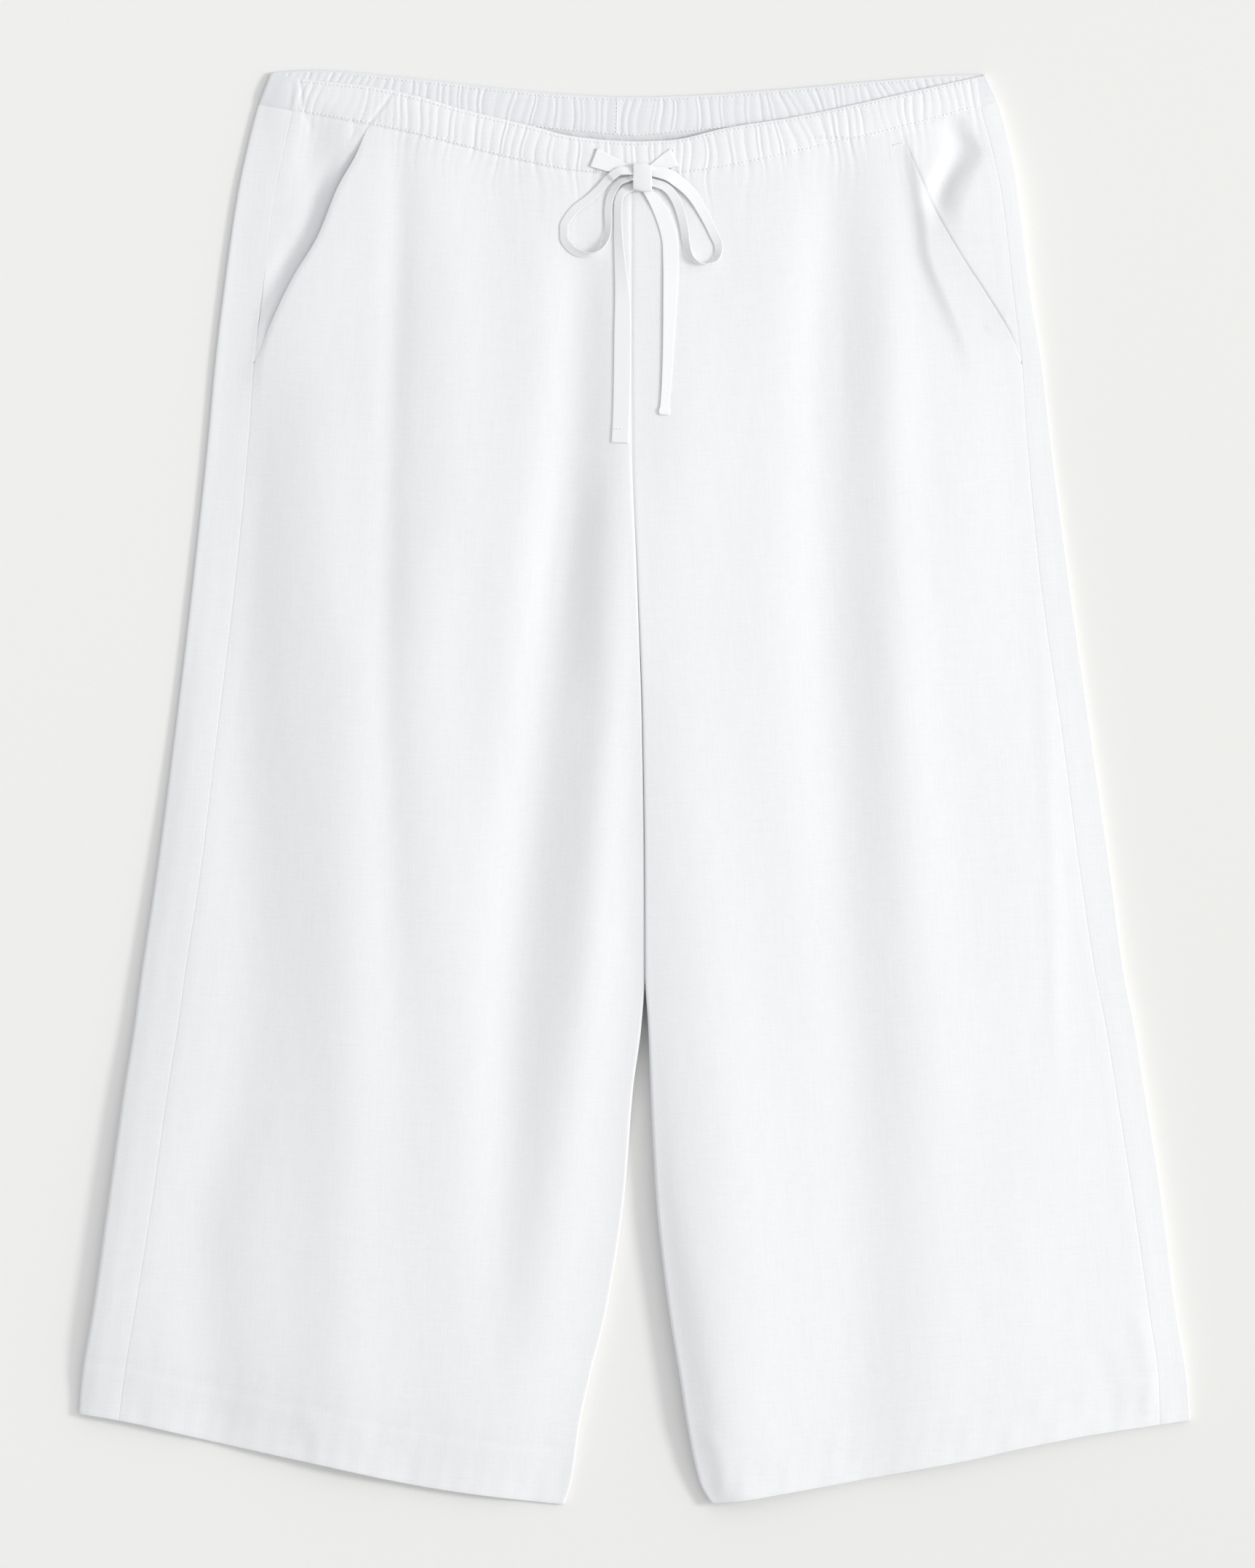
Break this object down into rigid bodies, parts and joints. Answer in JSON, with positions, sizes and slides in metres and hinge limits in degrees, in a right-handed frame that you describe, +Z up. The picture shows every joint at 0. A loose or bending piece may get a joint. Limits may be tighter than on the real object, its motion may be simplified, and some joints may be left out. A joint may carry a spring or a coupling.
{
  "type": "capri trousers laid flat",
  "caption": "Wide-leg pull-on capri trousers laid flat, with a gathered drawstring casing, a tied bow and slanted side pockets.",
  "frame": {"origin": "on the surface that the garment lies on, under the middle of its box without the drawstring", "axes": "+X to the right of the garment as it is laid, +Y from the hems to the waist, +Z up from the surface through the front"},
  "size_m": [0.6517, 0.8415, 0.0146],
  "materials": {
    "linen": "matt plain-weave white linen blend",
    "tape": "matt white woven tape"
  },
  "bodies": {
    "root": {"front_left": "linen", "front_right": "linen", "back_left": "linen", "back_right": "linen", "side_panel_left": "linen", "side_panel_right": "linen", "casing_front": "linen", "casing_back": "linen", "tie_knot": "tape", "tie_loop_left": "tape", "tie_loop_right": "tape", "tie_tail_left": "tape", "tie_tail_right": "tape", "tie_stub_left": "tape", "tie_stub_right": "tape"}
  },
  "joints": []
}
